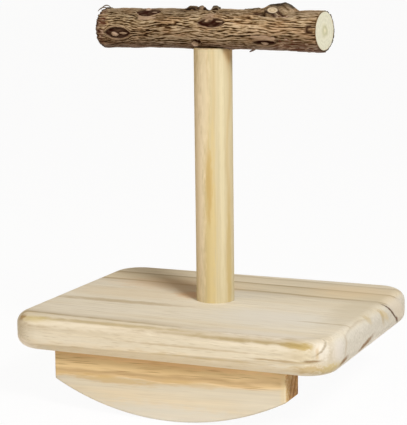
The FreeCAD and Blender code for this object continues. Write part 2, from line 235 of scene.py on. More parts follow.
POST_LOG = {
    "pith": (-55, -24, 0), "turn": (0, -90, 0), "wobble": 5.0, "ripple": 1.0, "edge": 0.9,
    "pale": "#CBBF9C", "tan": "#CEBE95", "late": "#BE9E60", "end": "#E0C8A0",
    "fade": 0.0, "dash": (0.1, 0.1),
    "rings": [(52.5, 0.2, 0.5), (57.6, 0.3, 0.5), (60.6, 0.25, 0.3), (68.0, 0.4, 0.05), (74.0, 0.5, 0.3)],
    "stains_and_painted_light": [
        # painted shadow of the branch on the post's upper right side
        ((9.5, -2, 180), 0, (5, 6, 9), "#CE9A58", 0.45),
        ((1.4, -9.8, 86), 0, (4.8, 4.8, 95), "#D4C18A", 0.7),
        ((1.2, -9.8, 112), 0, (2.6, 2.6, 28), "#BC9A54", 0.55),
        ((-1.2, -9.9, 158), 0, (4.4, 4.4, 48), "#E6D9BC", 0.6),
        ((9.5, -3.1, 72), 0, (2.8, 2.8, 55), "#BFA86C", 0.6),
        ((-5.4, -8.4, 110), 0, (6.2, 6.2, 110), "#F2E4C8", 0.85),
        ((7.4, -6.8, 115), 0, (2.2, 2.2, 110), "#DCD2AE", 0.45),
        # painted shade on the post's top end where it stands out under the branch
        ((0, 0, 182.2), 0, (18, 18, 1.4), "#6A4A2C", 0.85),
    ],
}

# Noise in pine: its mm along the grain, its mm across it and its detail. Wave and ripple swing the rings and
# band tints wide streaks. Real fibres and pores are some hundredths of a mm wide, too fine to show, so
# fibres, dashes and specks are drawn many times coarser
PINE_NOISE = (
    ("wave", 60, 24, 1),
    ("ripple", 17, 7, 1),
    ("band", 95, 9, 2),
    ("fibre", 34, 0.8, 3),
    ("dash", 18, 0.42, 1),
    ("speck", 6, 1.2, 2),
)
FIBRE_HEIGHT = 0.12

# A stain fades between two distances from its place, in reaches, made ragged by specks, and so does each
# patch of painted light and shade among them
OVERLAY_OUTSIDE, OVERLAY_INSIDE = 1.4, 0.7
OVERLAY_RAGGEDNESS = 0.9

# Noise in bark: patches of warmer bark, and flecks that stand for fibres and dust too fine to show
BARK_NOISE = (("patch", 16, 6, 2), ("fleck", 1.8, 0.45, 3))
FLECK_SHARE = 0.85
FLECK_HEIGHT = 0.25

# Marks on the bark, each laid over those before it: rubbed inner bark, smooth lips, scars, nubs and crust
MARK_COLOURS = {"raw": "#5A3324", "lip": "#A08870", "scar": "#2A0F06", "nub": "#B8A08C", "crust": "#2A231B"}

# Noise on sawn branch wood swings its rings by some mm, mottles it with dust and draws saw marks, coarser
# than real ones. The rings lie at shares of a field that reaches out from the pith, and each deepens over a
# share before it and ends over one after it. The stub's wood starts tenths of a mm past the branch's
RING_NOISE = (("wave", 5, 5, 3),)
SAWN_NOISE = (("mottle", 5 / 3, 5 / 3, 3), ("saw", 5 / 6, 5 / 6, 3))
RING_SWING = 3.0
RING_FIELD = 10.0
RING_SHARES = (0.55, 0.72, 0.86)
RING_BEFORE, RING_AFTER = 0.1, 0.04
STUB_STARTS, STUB_FULL = 0.1, 0.3
SAW_HEIGHT = 0.1

# Mm sizes of the grain of zinc plate, drawn coarser than its real one, and of a fleck in beech across and
# along the dowel
ZINC_GRAIN = 0.6
BEECH_FLECK = (0.5, 0.5, 3)


def ring_stops(wood, low, high):
    """Ramp stops across a range of ring radii: each ring deepens slowly outwards, then ends at once.

    The fourth part of each colour is the share of dashes in that wood.
    """
    pale, tan, late = (linear(wood[name])[:3] for name in ("pale", "tan", "late"))
    pale, tan, late = (colour + (dash,) for colour, dash in zip((pale, tan, late), wood["dash"] + (0,)))
    grounds = [blended(pale, tan, tan_share) for _, _, tan_share in wood["rings"]] + [pale]
    stops = []
    inner = low
    for (radius, strength, _), ground, following in zip(wood["rings"], grounds, grounds[1:]):
        for before, share in RING_STEPS:
            place = max(radius - before, inner)
            stops.append(((place - low) / (high - low), blended(ground, late, share * strength)))
        inner = radius + wood["edge"]
        stops.append(((inner - low) / (high - low), following))
    return stops


def layered(tree, colour, *layers):
    """Lays colours over a first one in turn, each by a share and a way of blending."""
    for share, over, way in layers:
        colour = add(tree, "ShaderNodeMix", {0: share, 6: colour, 7: over}, data_type="RGBA",
                     blend_type=way).outputs[2]
    return colour


def from_axis(tree, place, across):
    """The part of a place that lies across an axis, and its distance from that axis."""
    flat = add(tree, "ShaderNodeVectorMath", {0: place, 1: across}, operation="MULTIPLY").outputs[0]
    return flat, add(tree, "ShaderNodeVectorMath", {0: flat}, operation="LENGTH").outputs["Value"]


def noise_fields(tree, place, kinds):
    """Noise read at a place in mm, each kind drawn out along X: its name, length, width and detail."""
    fields = {}
    for name, along, side, detail in kinds:
        scaled = add(tree, "ShaderNodeVectorMath", {0: place, 1: (1 / along, 1 / side, 1 / side)},
                     operation="MULTIPLY")
        noise = add(tree, "ShaderNodeTexNoise", {"Vector": scaled.outputs[0], "Scale": 1, "Detail": detail})
        fields[name] = noise.outputs["Fac"]
    return fields


def overlaid(tree, place, ragged, colour, overlay):
    """Lays staining or painted light and shade over a colour: an ellipsoid in the wood, soft-edged, ragged by
    noise.
    """
    centre, turn, reach, code, strength = overlay
    local = add(tree, "ShaderNodeMapping", {
        "Vector": place, "Location": [length * MM for length in centre],
        "Rotation": (math.radians(turn), 0, 0), "Scale": [length * MM for length in reach]},
        vector_type="TEXTURE")
    away = add(tree, "ShaderNodeVectorMath", {0: local.outputs[0]}, operation="LENGTH")
    uneven = add(tree, "ShaderNodeMath", {0: ragged, 1: OVERLAY_RAGGEDNESS, 2: away.outputs["Value"]},
                 operation="MULTIPLY_ADD")
    share = add(tree, "ShaderNodeMapRange", {
        "Value": uneven.outputs[0], "From Min": OVERLAY_OUTSIDE, "From Max": OVERLAY_INSIDE, "To Max": strength},
        interpolation_type="SMOOTHSTEP")
    return layered(tree, colour, (share.outputs[0], code, "MIX"))


def pine(name, wood):
    """Sanded, unfinished pine: matt and pale, its rings cut as wide bands that end in thin dark lines.

    A point's ring is its distance from the pith, swung by slow noise; fibres are noise drawn out along it.
    End grain is tinted through specks, and the patches, staining and painted light and shade, go on last in
    order.
    """
    material, tree, shader = new_material(name)
    turn = [math.radians(degrees) for degrees in wood["turn"]]
    swing_room = (wood["wobble"] + wood["ripple"]) / 2
    low, high = wood["rings"][0][0] - INNER_WOOD, wood["rings"][-1][0] + OUTER_WOOD
    place = add(tree, "ShaderNodeTexCoord")
    grain = add(tree, "ShaderNodeMapping", {
        "Vector": place.outputs["Object"], "Location": [length * MM for length in wood["pith"]],
        "Rotation": turn, "Scale": (MM,) * 3}, vector_type="TEXTURE")
    _, radius = from_axis(tree, grain.outputs[0], (0, 1, 1))
    fields = noise_fields(tree, grain.outputs[0], PINE_NOISE)
    swing = add(tree, "ShaderNodeMath", {0: fields["wave"], 1: wood["wobble"], 2: radius},
                operation="MULTIPLY_ADD")
    swung = add(tree, "ShaderNodeMath", {0: fields["ripple"], 1: wood["ripple"], 2: swing.outputs[0]},
                operation="MULTIPLY_ADD")
    share = add(tree, "ShaderNodeMapRange", {
        "Value": swung.outputs[0], "From Min": low + swing_room, "From Max": high + swing_room})
    rings = add(tree, "ShaderNodeValToRGB", {"Fac": share.outputs[0]}, ring_stops(wood, low, high))
    tint = add(tree, "ShaderNodeMapRange", {"Value": fields["band"], "From Min": 0.44, "From Max": 0.74,
                                            "To Max": 0.3}, interpolation_type="SMOOTHSTEP")
    streak = add(tree, "ShaderNodeMapRange", {
        "Value": fields["fibre"], "From Min": 0.3, "From Max": 0.7, "To Min": 0.93, "To Max": 1.03})
    dashes = add(tree, "ShaderNodeMapRange", {
        "Value": fields["dash"], "From Min": 0.56, "From Max": 0.74, "To Max": rings.outputs["Alpha"]},
        interpolation_type="SMOOTHSTEP")
    facing = add(tree, "ShaderNodeMapping", {"Vector": place.outputs["Normal"], "Rotation": turn},
                 vector_type="TEXTURE")
    parts = add(tree, "ShaderNodeSeparateXYZ", {0: facing.outputs[0]})
    endwise = add(tree, "ShaderNodeMath", {0: parts.outputs[0]}, operation="ABSOLUTE")
    end_share = add(tree, "ShaderNodeMapRange", {
        "Value": endwise.outputs[0], "From Min": 0.6, "From Max": 0.95, "To Max": 1.0})
    fade = add(tree, "ShaderNodeMath", {0: end_share.outputs[0], 1: wood["fade"]}, operation="MULTIPLY")
    pores = add(tree, "ShaderNodeMapRange", {
        "Value": fields["speck"], "From Min": -0.3, "From Max": 0.7, "To Max": end_share.outputs[0]})
    colour = layered(
        tree, rings.outputs[0], (tint.outputs[0], wood["tan"], "MIX"), (1.0, streak.outputs[0], "MULTIPLY"),
        (dashes.outputs[0], wood["late"], "MIX"), (fade.outputs[0], wood["pale"], "MIX"),
        (pores.outputs[0], wood["end"], "MULTIPLY"))
    for overlay in wood["stains_and_painted_light"]:
        colour = overlaid(tree, place.outputs["Object"], fields["speck"], colour, overlay)
    matt = add(tree, "ShaderNodeMapRange", {"Value": fields["fibre"], "To Min": 0.68, "To Max": 0.56})
    bump = add(tree, "ShaderNodeBump", {
        "Height": fields["fibre"], "Strength": 0.25, "Distance": FIBRE_HEIGHT * MM})
    fill(tree, shader, {"Base Color": colour, "Roughness": matt.outputs[0], "Specular IOR Level": 0.2,
                        "Normal": bump.outputs[0]})
    return material


def branch_place(tree, place):
    """A place in mm from the branch's middle: along it, across it and up."""
    local = add(tree, "ShaderNodeMapping", {
        "Vector": place.outputs["Object"], "Location": (0, 0, BRANCH_HEIGHT), "Rotation": (0, 0, BRANCH_TURN),
        "Scale": (MM,) * 3}, vector_type="TEXTURE")
    return local.outputs[0]


def bark():
    """Dry furrowed bark: rough tan strands over dark grooves, maroon twig scars with smooth paler lips.

    It is olive on top, greyer below and palest right of its middle, as weathered and worn bark is, and darker
    below, which is painted shade, with red inner bark where it is rubbed off.
    """
    material, tree, shader = new_material("furrowed_bark")
    shares = {name: add(tree, "ShaderNodeAttribute", attribute_name=name).outputs["Fac"]
              for name in ("ridge", *MARK_COLOURS)}
    local = branch_place(tree, add(tree, "ShaderNodeTexCoord"))
    fields = noise_fields(tree, local, BARK_NOISE)
    uneven = add(tree, "ShaderNodeMath", {0: fields["fleck"], 1: FLECK_SHARE, 2: shares["ridge"]},
                 operation="MULTIPLY_ADD")
    level = add(tree, "ShaderNodeMapRange", {"Value": uneven.outputs[0], "From Min": 0.35, "From Max": 1.5})
    strands = add(tree, "ShaderNodeValToRGB", {"Fac": level.outputs[0]}, [
        (0.0, "#2D1C0E"), (0.25, "#574029"), (0.5, "#938064"), (0.75, "#B7A489"), (1.0, "#D2C3AC")])
    height = add(tree, "ShaderNodeSeparateXYZ", {0: local})
    level_share = add(tree, "ShaderNodeMapRange", {
        "Value": height.outputs[2], "From Min": -BARK_RADIUS, "From Max": BARK_RADIUS})
    # greyer and darker towards the bottom: the grey is weathering, the darkening is painted shade on the
    # underside
    weather_and_shade = add(tree, "ShaderNodeValToRGB", {"Fac": level_share.outputs[0]}, [
        (0.0, "#C4BED2"), (0.22, "#CFC5BC"), (0.45, "#EDE3D7"), (0.72, "#FFF8EA"), (0.93, "#D4CDC3")])
    along_share = add(tree, "ShaderNodeMapRange", {
        "Value": height.outputs[0], "From Min": -BRANCH_LEFT, "From Max": BRANCH_RIGHT})
    worn = add(tree, "ShaderNodeValToRGB", {"Fac": along_share.outputs[0]}, [
        (0.0, "#EAEAEA"), (0.25, "#E4E4E4"), (0.42, "#ECECEC"),
        (0.6, "#FCFCFC"), (0.75, "#F6F6F6"), (0.95, "#F0F0F0")])
    warm = add(tree, "ShaderNodeMapRange", {"Value": fields["patch"], "From Min": 0.45, "From Max": 0.65},
               interpolation_type="SMOOTHSTEP")
    flecked = add(tree, "ShaderNodeMapRange", {
        "Value": fields["fleck"], "From Min": 0.3, "From Max": 0.7, "To Min": 0.85, "To Max": 1.12})
    marks = [(shares[name], code, "MIX") for name, code in MARK_COLOURS.items()]
    colour = layered(
        tree, strands.outputs[0], (1.0, weather_and_shade.outputs[0], "MULTIPLY"), (1.0, worn.outputs[0], "MULTIPLY"),
        (warm.outputs[0], "#F6EAE0", "MULTIPLY"), *marks, (1.0, flecked.outputs[0], "MULTIPLY"))
    bump = add(tree, "ShaderNodeBump", {
        "Height": fields["fleck"], "Strength": 0.5, "Distance": FLECK_HEIGHT * MM})
    fill(tree, shader, {"Base Color": colour, "Roughness": 0.86, "Specular IOR Level": 0.05,
                        "Normal": bump.outputs[0]})
    return material


def branch_wood():
    """Sawn green branch wood: pale cream with a hint of green, faint rings about a yellow pith.

    The stub stands out past the branch's own wood, and its cut end is drier and tanner, with one ring.
    """
    material, tree, shader = new_material("sawn_branch_wood")
    place = add(tree, "ShaderNodeTexCoord")
    local = branch_place(tree, place)
    across, radius = from_axis(tree, local, (0, 1, 1))
    wave = noise_fields(tree, across, RING_NOISE)["wave"]
    bent = add(tree, "ShaderNodeMath", {0: wave, 1: RING_SWING, 2: radius}, operation="MULTIPLY_ADD")
    share = add(tree, "ShaderNodeMapRange", {
        "Value": bent.outputs[0], "From Min": RING_SWING / 2, "From Max": RING_FIELD + RING_SWING / 2})
    cream, line = "#D0CEB8", "#C8C6AE"
    stops = [(0.0, "#D8D2B4"), (0.1, "#C5C1A2"), (0.2, "#B3B18F"), (0.32, "#C8C5AA")]
    for edge in RING_SHARES:
        stops += [(edge - RING_BEFORE, cream), (edge, line), (edge + RING_AFTER, cream)]
    stops += [(0.94, "#C6C1A6"), (1.0, "#A8957A")]
    face = add(tree, "ShaderNodeValToRGB", {"Fac": share.outputs[0]}, stops)
    root, tip = along_stub(0, STUB_LENGTH)
    twig = add(tree, "ShaderNodeMapping", {
        "Vector": place.outputs["Object"], "Location": root, "Scale": (STUB_RADIUS * MM,) * 3,
        "Rotation": (tip - root).to_track_quat("Z", "Y").to_euler()}, vector_type="TEXTURE")
    _, twig_radius = from_axis(tree, twig.outputs[0], (1, 1, 0))
    twig_face = add(tree, "ShaderNodeValToRGB", {"Fac": twig_radius}, [
        (0.0, "#C8B89A"), (0.35, "#BCA888"), (0.5, "#958060"),
        (0.65, "#C6B598"), (0.85, "#BEAC90"), (1.0, "#705C46")])
    past_branch = add(tree, "ShaderNodeMapRange", {
        "Value": radius, "From Min": WOOD_RADIUS + STUB_STARTS, "From Max": WOOD_RADIUS + STUB_FULL})
    fields = noise_fields(tree, local, SAWN_NOISE)
    dusty = add(tree, "ShaderNodeMapRange", {
        "Value": fields["mottle"], "From Min": 0.35, "From Max": 0.65, "To Min": 0.93, "To Max": 1.04})
    colour = layered(tree, face.outputs[0], (past_branch.outputs[0], twig_face.outputs[0], "MIX"),
                     (1.0, dusty.outputs[0], "MULTIPLY"))
    bump = add(tree, "ShaderNodeBump", {
        "Height": fields["saw"], "Strength": 0.3, "Distance": SAW_HEIGHT * MM})
    fill(tree, shader, {"Base Color": colour, "Roughness": 0.7, "Normal": bump.outputs[0]})
    return material


def zinc():
    """Bright zinc plate on steel: a grey metal with a soft, slightly uneven shine."""
    material, tree, shader = new_material("zinc_plated_steel")
    place = add(tree, "ShaderNodeTexCoord")
    noise = add(tree, "ShaderNodeTexNoise", {
        "Vector": place.outputs["Object"], "Scale": 1 / (ZINC_GRAIN * MM)})
    colour = add(tree, "ShaderNodeValToRGB", {"Fac": noise.outputs["Fac"]},
                 [(0.3, "#B4B7BA"), (0.7, "#CCCED0")])
    matt = add(tree, "ShaderNodeMapRange", {"Value": noise.outputs["Fac"], "To Min": 0.25, "To Max": 0.45})
    fill(tree, shader, {"Base Color": colour.outputs[0], "Metallic": 1.0, "Roughness": matt.outputs[0]})
    return material


def beech():
    """Beech dowel stock: even pinkish tan with short dark flecks along the dowel."""
    material, tree, shader = new_material("beech_dowel_wood")
    place = add(tree, "ShaderNodeTexCoord")
    along = add(tree, "ShaderNodeMapping", {
        "Vector": place.outputs["Object"], "Scale": [1 / (length * MM) for length in BEECH_FLECK]})
    noise = add(tree, "ShaderNodeTexNoise", {"Vector": along.outputs[0], "Scale": 1})
    colour = add(tree, "ShaderNodeValToRGB", {"Fac": noise.outputs["Fac"]},
                 [(0.35, "#D6B48A"), (0.7, "#B98F62")])
    fill(tree, shader, {"Base Color": colour.outputs[0], "Roughness": 0.6})
    return material


# Bark grid: cells of about 0.57 mm along the branch and 0.16 mm round it
ROWS, COLUMNS = 232, 418
CELL_ALONG = (BRANCH_LEFT + BRANCH_RIGHT) / (ROWS - 1)
CELL_ACROSS = 2 * math.pi * BARK_RADIUS / COLUMNS
ALONG = np.linspace(-BRANCH_LEFT, BRANCH_RIGHT, ROWS)[:, None]
ANGLE = np.linspace(-math.pi, math.pi, COLUMNS, endpoint=False)[None, :]

# A place on the bark is mm along the branch and degrees up from the front; all other bark sizes are in mm.
# Twig scars are lenses: a place, a half length and half width, the widths of the smooth lips above and below,
# and nubs. A nub has an offset along and across, a half length, a half width, a height and a paleness
SCARS = [
    ((-53.3, -13), (8.3, 3.5), (0.9, 0.9),
     [(-2.0, -0.7, 1.9, 1.3, 1.2, 0.75), (3.4, -0.2, 2.7, 0.6, 0.6, 0.2)]),
    ((-36.2, 61), (7.8, 4.2), (0.4, 1.6),
     [(-2.2, 3.3, 1.7, 1.0, 0.35, 0.7), (3.6, 0.2, 2.0, 0.5, 0.5, 0.3), (0.6, -5.1, 6.4, 1.1, 0.2, 0.35)]),
    ((4.8, 22), (8.6, 2.7), (0.8, 1.0),
     [(-1.6, 3.6, 3.3, 3.2, 0.6, 0.2), (4.5, 0.7, 2.1, 0.5, 0.6, 0.2)]),
    ((35.5, -36), (6.9, 1.9), (3.0, 1.2),
     [(-0.6, -0.7, 2.8, 1.1, 1.0, 0.9), (0.0, 3.2, 6.5, 1.6, 0.2, 0.3)]),
    ((-4.9, -38), (2.8, 1.8), (0.6, 0.5), [(-1.0, -0.9, 1.9, 1.2, 1.0, 0.4)]),
]
LIP_HEIGHT = 0.35
SCAR_DEPTH = 0.9

# A scar's outline is a parabola to a power, which blunts its ends. The push on the strands round it fades
# over a share of its half width. Its wall lies between two distances from the outline, and a nub's edge
# between two reaches. A lip is full up to a share of its width, and ends between shares of the half length
SCAR_BLUNTNESS = 0.75
PUSH_FADE = 0.7
SCAR_WALL, WALL_RAGGEDNESS = (0.1, -0.4), 0.12
NUB_EDGE, NUB_RAGGEDNESS = (1.0, 0.5), 0.35
LIP_FULL = 0.3
LIP_ENDS = (1.15, 0.6)

# Grooves run straight between two places, with a half width and a depth
GROOVES = [
    ((60.2, 14), (60.2, -2), 0.9, 0.8),
    ((60.2, -2), (62.8, -3), 0.7, 0.8),
    ((60.2, 14), (62.2, 16), 0.7, 0.6),
    ((27.0, 64), (33.5, 57), 0.5, 0.6),
    ((28.0, 58), (33.5, 50), 0.9, 0.6),
    ((33.5, 50), (41.5, 46), 0.9, 0.8),
    ((41.4, 64), (45.7, 47), 0.8, 0.9),
    ((-2.8, -30), (-2.2, -44), 0.4, 0.6),
    ((-12.0, 3), (-6.5, 6), 0.35, 0.5),
]

# Loose flakes stand up from the bark: a place, a half length and half width, a height, and the shares of
# dark crust and of pale torn wood on it
FLAKES = [
    ((-11.0, 97), (4.4, 2.4), 1.2, 0.55, 0.0),
    ((-14.5, 97), (3.6, 1.8), 0.4, 0.1, 0.0),
    ((-6.4, 95), (2.3, 2.4), 1.1, 0.0, 0.4),
    ((-65.4, 95), (2.2, 2.6), 0.4, 0.8, 0.0),
    ((0.0, 62), (5.8, 1.6), 1.0, 0.0, 0.0),
    ((-1.6, 121), (2.4, 1.8), 3.1, 0.8, 0.0),
    ((24.0, 88), (3.6, 1.3), 0.6, 0.6, 0.0),
]

# Mounds carry the swelling's crest on behind the stub and to its peak, and the last one is a hollow on the
# underside: a place, two widths and a height
MOUNDS = [
    ((35.0, 101), (4.3, 3.6), 2.5),
    ((43.4, 99), (2.6, 3.0), 0.6),
    ((18.0, -80), (9.0, 5.0), -0.6),
]

# How far the branch's top line and its underside stand out at places along it
TOP_LINE = [(-66, -0.2), (15, -0.2), (22, -0.4), (29, -0.3), (33, 0.0), (45, 0.0), (49, -0.8), (54, -0.6),
            (66, -0.6)]
UNDERSIDE = [(-66, 0.5), (-57, 0.4), (-51, -0.15), (-14, -0.15), (-5, 0.2), (9, 0.2), (17, -0.4), (44, -0.4),
             (50, 0.0), (66, 0.0)]

# Long fibres that have come loose: three places that steer a curve, each with its mm from the branch's axis,
# and the fibre's radius
LOOSE_FIBRES = [
    (((-64.0, 92, 10.3), (-68.0, 94, 13.6), (-71.5, 96, 9.6)), 0.3),
    (((-65.5, 84, 10.3), (-69.0, 86, 11.8), (-72.5, 88, 8.6)), 0.3),
    (((27.0, -78, 9.6), (25.2, -80, 10.2), (23.0, -82, 11.1)), 0.5),
]

# Inner bark shows red at the rubbed left end, low on the right and by the stub: a place, a half length and
# half width
RUBBED = [
    ((-66.0, 10), (5.0, 14.0)),
    ((52.0, -50), (12.0, 5.0)),
    ((44.0, 52), (4.0, 2.2)),
]

# Edges of flakes, of their crust, of rubbed places and of the specks in these
FLAKE_EDGE, FLAKE_RAGGEDNESS = (1.1, 0.6), 0.18
CRUST_GAIN = 1.8
RUBBED_EDGE, RUBBED_RAGGEDNESS = (1.0, 0.3), 0.5
SPECK_EDGE, SPECK_PALENESS = (0.5, 1.3), 0.8

# Random fields of the bark: a seed, the mm along and across that smooth it, and its waves in a mm across.
# Bark's real fibres are too fine to show, so the finest strands are drawn about half a mm wide
FIELDS = {
    "drift": (11, 12, 3),
    "wander": (23, 4, 1.5),
    "ragged": (17, 0.9, 0.5),
    "specks": (29, 0.6, 0.25),
    "strands": (5, 1.7, 0.55, 0.68),
    "fine": (21, 0.9, 0.18),
    "streaks": (9, 6, 0.5),
    "depth": (7, 5, 1.6),
    "waves": (13, 9, 3),
    "knots": (19, 2.5, 1.2),
}

# Strands drift and wander aside by these mm, coarse and fine ones have these weights, and crests are wider
# than furrows by a bias. Their contrast grows towards the left between two places along
DRIFT, WANDER = 0.3, 0.25
COARSE, FINE = 0.85, 0.58
CREST_BIAS = 0.4
CONTRAST, LEFT_CONTRAST = 1.1, 0.5
CONTRAST_PLACES = (2, -18)

# Heights of the relief: furrows lie under the bark's radius, crests stand over them and vary in places, long
# streaks are both a height and a tone, and bare bark on scars, nubs and lips has a level of its own
FURROW_FLOOR = 0.6
CREST_HEIGHT = 0.7
CREST_MEAN, CREST_SPREAD, CREST_LIMITS = 0.8, 0.3, (0.3, 1.3)
STREAK_HEIGHT = 0.12
BARE_HEIGHT = 0.45
WAVE_HEIGHT = 0.12
KNOT_HEIGHT = 0.3

# The swelling runs into the bark over a blend and isn't worked out far below it. Its strands slant by some
# mm in each mm along and are half evened out. Dark crust comes in between two heights, in a strip on its back
SWELL_BLEND = 0.4
SWELL_LOWEST = -3
SWELL_SLANT = 0.4
SWELL_TONE, SWELL_EVENING = 0.8, 0.5
SWELL_CRUST, CRUST_RAGGEDNESS = 0.85, 0.3
CRUST_HEIGHTS = (0.8, 1.8)
CRUST_ANGLE, CRUST_STRIP = 108, (6.6, 4.0)

# Past the stub's wall, bark is drawn up to its cut end within a wide reach and pared down to it within a
# tight one, on rays that lean towards the stub's axis by at least some share
COLLAR_REACHES = (1.4, 0.8)
COLLAR_LEAN = 0.3
# share by which the bark pared down round the stub is darkened
COLLAR_DARKENING = 0.5

# Tones on a scale of 0 to 1: bare bark, the cut rims, the crust that darkens the right rim towards its back
# and the left end's edge, scars with their mottle, lips, and how far crests hide the red inner bark
BARE_TONE = 0.75
LIP_BARENESS = 0.75
RIM_TONE = 0.4
RIGHT_RIM_CRUST = 0.4
LEFT_RIM_CRUST, LEFT_RIM = 0.55, (-65.2, -66.4)
SCAR_TONE, SCAR_MOTTLE, SCAR_LEAST = 0.96, 0.08, 0.8
LIP_TONE = 0.7
CREST_COVER = 0.6

# Loose fibres: points along, sides round, their tone, and the part of an arch that thins them to their ends
FIBRE_POINTS = 25
FIBRE_SIDES = 12
FIBRE_TONE = 0.55
FIBRE_THINNEST, FIBRE_ARCH = 0.3, (0.1, 0.9)

# Faces that meet at more than this angle keep a sharp edge
SHARP_ANGLE = math.radians(70)


def smooth_noise(seed, along, across, waves=0):
    """Random heights over the grid, smoothed by a bell of that many mm along and across.

    They close round the branch, and their waves across lie about a number of waves in a mm.
    """
    rough = np.random.default_rng(seed).standard_normal((ROWS, COLUMNS))
    waves_along = np.fft.fftfreq(ROWS, CELL_ALONG)[:, None]
    waves_across = np.fft.rfftfreq(COLUMNS, CELL_ACROSS)[None, :]
    bell_along = np.exp(-2 * (math.pi * along * waves_along) ** 2)
    bell_across = np.exp(-2 * (math.pi * across * (waves_across - waves)) ** 2)
    smooth = np.fft.irfft2(np.fft.rfft2(rough) * bell_along * bell_across, s=rough.shape)
    return smooth / smooth.std()


def read_across(field, across):
    """Reads a field of the grid at other places across it, in mm, blending the two nearest columns."""
    place = across / CELL_ACROSS + COLUMNS / 2
    left = np.floor(place).astype(int)
    share = place - left
    rows = np.arange(ROWS)[:, None]
    return field[rows, left % COLUMNS] * (1 - share) + field[rows, (left + 1) % COLUMNS] * share


def ease(value, start, end):
    """Rises smoothly from 0 at start to 1 at end, or falls if end is the lower."""
    share = np.clip((value - start) / (end - start), 0, 1)
    return share * share * (3 - 2 * share)


def from_place(along, angle):
    """Distances in mm over the grid from a place on the bark: along, and across the short way round."""
    turned = ANGLE - math.radians(angle)
    return ALONG - along, np.arctan2(np.sin(turned), np.cos(turned)) * BARK_RADIUS


def from_line(start, end):
    """Distance in mm over the grid from the straight line between two places on the bark."""
    along, across = from_place(*start)
    line_along = end[0] - start[0]
    line_across = math.radians(end[1] - start[1]) * BARK_RADIUS
    share = (along * line_along + across * line_across) / (line_along ** 2 + line_across ** 2)
    share = np.clip(share, 0, 1)
    return np.hypot(along - share * line_along, across - share * line_across)


def stub_lean():
    """Direction of the stub's axis: its parts along the branch, to the front and up."""
    level = math.sin(STUB_LEAN)
    return level * math.cos(STUB_HEADING), -level * math.sin(STUB_HEADING), math.cos(STUB_LEAN)


def swelling():
    """Radius of the ellipsoid of bark about the stub, where a ray out from the branch's axis leaves it.

    It is the larger root of the ray's quadratic, and 0 where the ray misses.
    """
    up, front = np.sin(ANGLE), np.cos(ANGLE)
    a = (front / SWELL_WIDE) ** 2 + (up / SWELL_HIGH) ** 2
    b = -2 * SWELL_LIFT * up / SWELL_HIGH ** 2
    c = ((ALONG - SWELL_PLACE) / SWELL_LONG) ** 2 + (SWELL_LIFT / SWELL_HIGH) ** 2 - 1
    inside = np.maximum(b * b - 4 * a * c, 0)
    return np.where(inside > 0, (-b + np.sqrt(inside)) / (2 * a), 0)


def stub_collar():
    """Shares of the collar of bark round the stub, wide and tight, and the radius of the stub's cut end."""
    along, front, up = stub_lean()
    outwards = np.cos(ANGLE) * front + np.sin(ANGLE) * up
    across = BARK_RADIUS * np.cos(ANGLE), BARK_RADIUS * np.sin(ANGLE)
    near = np.stack(np.broadcast_arrays(ALONG - STUB_ROOT, *across))
    length = near[0] * along + near[1] * front + near[2] * up
    away = np.sqrt(np.maximum((near ** 2).sum(axis=0) - length ** 2, 0))
    wide, tight = (ease(away, STUB_RADIUS + reach, STUB_RADIUS + reach / 2) * (outwards > COLLAR_LEAN)
                   for reach in COLLAR_REACHES)
    return wide, tight, (STUB_LENGTH - GLUE_GAP - near[0] * along) / np.maximum(outwards, COLLAR_LEAN)


def raise_share(shares, label, values):
    """Raises one of the colouring shares to new values where these are higher."""
    shares[label] = np.maximum(shares[label], values)


def press_scars(flow, lift, shares, ragged):
    """Presses twig scars into the bark and pushes the flow of strands aside round them.

    A scar is a hollow lens, as wide at each place along as a blunted parabola, with a raised smooth lip. Its
    nubs are domes, halves of ellipsoids. The push is the lens's half width, fading away from it.
    """
    for place, (long, wide), lips, nubs in SCARS:
        ahead, aside = from_place(*place)
        half = wide * np.clip(1 - (ahead / long) ** 2, 0, 1) ** SCAR_BLUNTNESS
        outside = np.abs(aside) - half
        fading = np.exp(-outside / (PUSH_FADE * wide))
        flow -= np.where(outside > 0, np.sign(aside) * half * fading, aside)
        hollow = ease(outside + WALL_RAGGEDNESS * ragged, *SCAR_WALL) * (np.abs(ahead) < long)
        lip_wide = np.where(aside > 0, *lips)
        edge = ease(outside, lip_wide, LIP_FULL * lip_wide) * ease(np.abs(ahead) / long, *LIP_ENDS)
        lift += LIP_HEIGHT * edge * (1 - hollow) - SCAR_DEPTH * hollow
        raise_share(shares, "scar", hollow)
        raise_share(shares, "lip", edge)
        for along, across, half_long, half_wide, height, paleness in nubs:
            reach = ((ahead - along) / half_long) ** 2 + ((aside - across) / half_wide) ** 2
            reach = reach + NUB_RAGGEDNESS * ragged
            cover = ease(reach, *NUB_EDGE)
            lift += height * np.sqrt(np.clip(1 - reach, 0, 1))
            shares["scar"] *= 1 - cover
            raise_share(shares, "lip", cover)
            raise_share(shares, "nub", paleness * cover)


def cut_grooves(lift, shares):
    """Cuts the grooves, each a bell-shaped hollow along its line, and darkens them."""
    for start, end, wide, deep in GROOVES:
        cut = np.exp(-(from_line(start, end) / wide) ** 2)
        lift -= deep * cut
        raise_share(shares, "scar", cut)


def raise_flakes(lift, shares, ragged):
    """Raises the loose flakes, blocks with sloping ragged sides, with their dark crust and pale torn wood."""
    for place, (long, wide), height, dark, pale in FLAKES:
        ahead, aside = from_place(*place)
        away = np.maximum(np.abs(ahead) / long, np.abs(aside) / wide)
        cover = ease(away + FLAKE_RAGGEDNESS * ragged, *FLAKE_EDGE)
        lift += height * cover
        raise_share(shares, "crust", dark * np.minimum(CRUST_GAIN * cover, 1))
        raise_share(shares, "nub", pale * cover)


def rub_patches(shares, ragged, specks):
    """Lays bare the red inner bark in ragged ellipses, with pale specks of wood in it."""
    for place, (long, wide) in RUBBED:
        ahead, aside = from_place(*place)
        away = (ahead / long) ** 2 + (aside / wide) ** 2 + RUBBED_RAGGEDNESS * ragged
        raise_share(shares, "raw", ease(away, *RUBBED_EDGE))
    raise_share(shares, "nub", SPECK_PALENESS * shares["raw"] * ease(specks, *SPECK_EDGE))


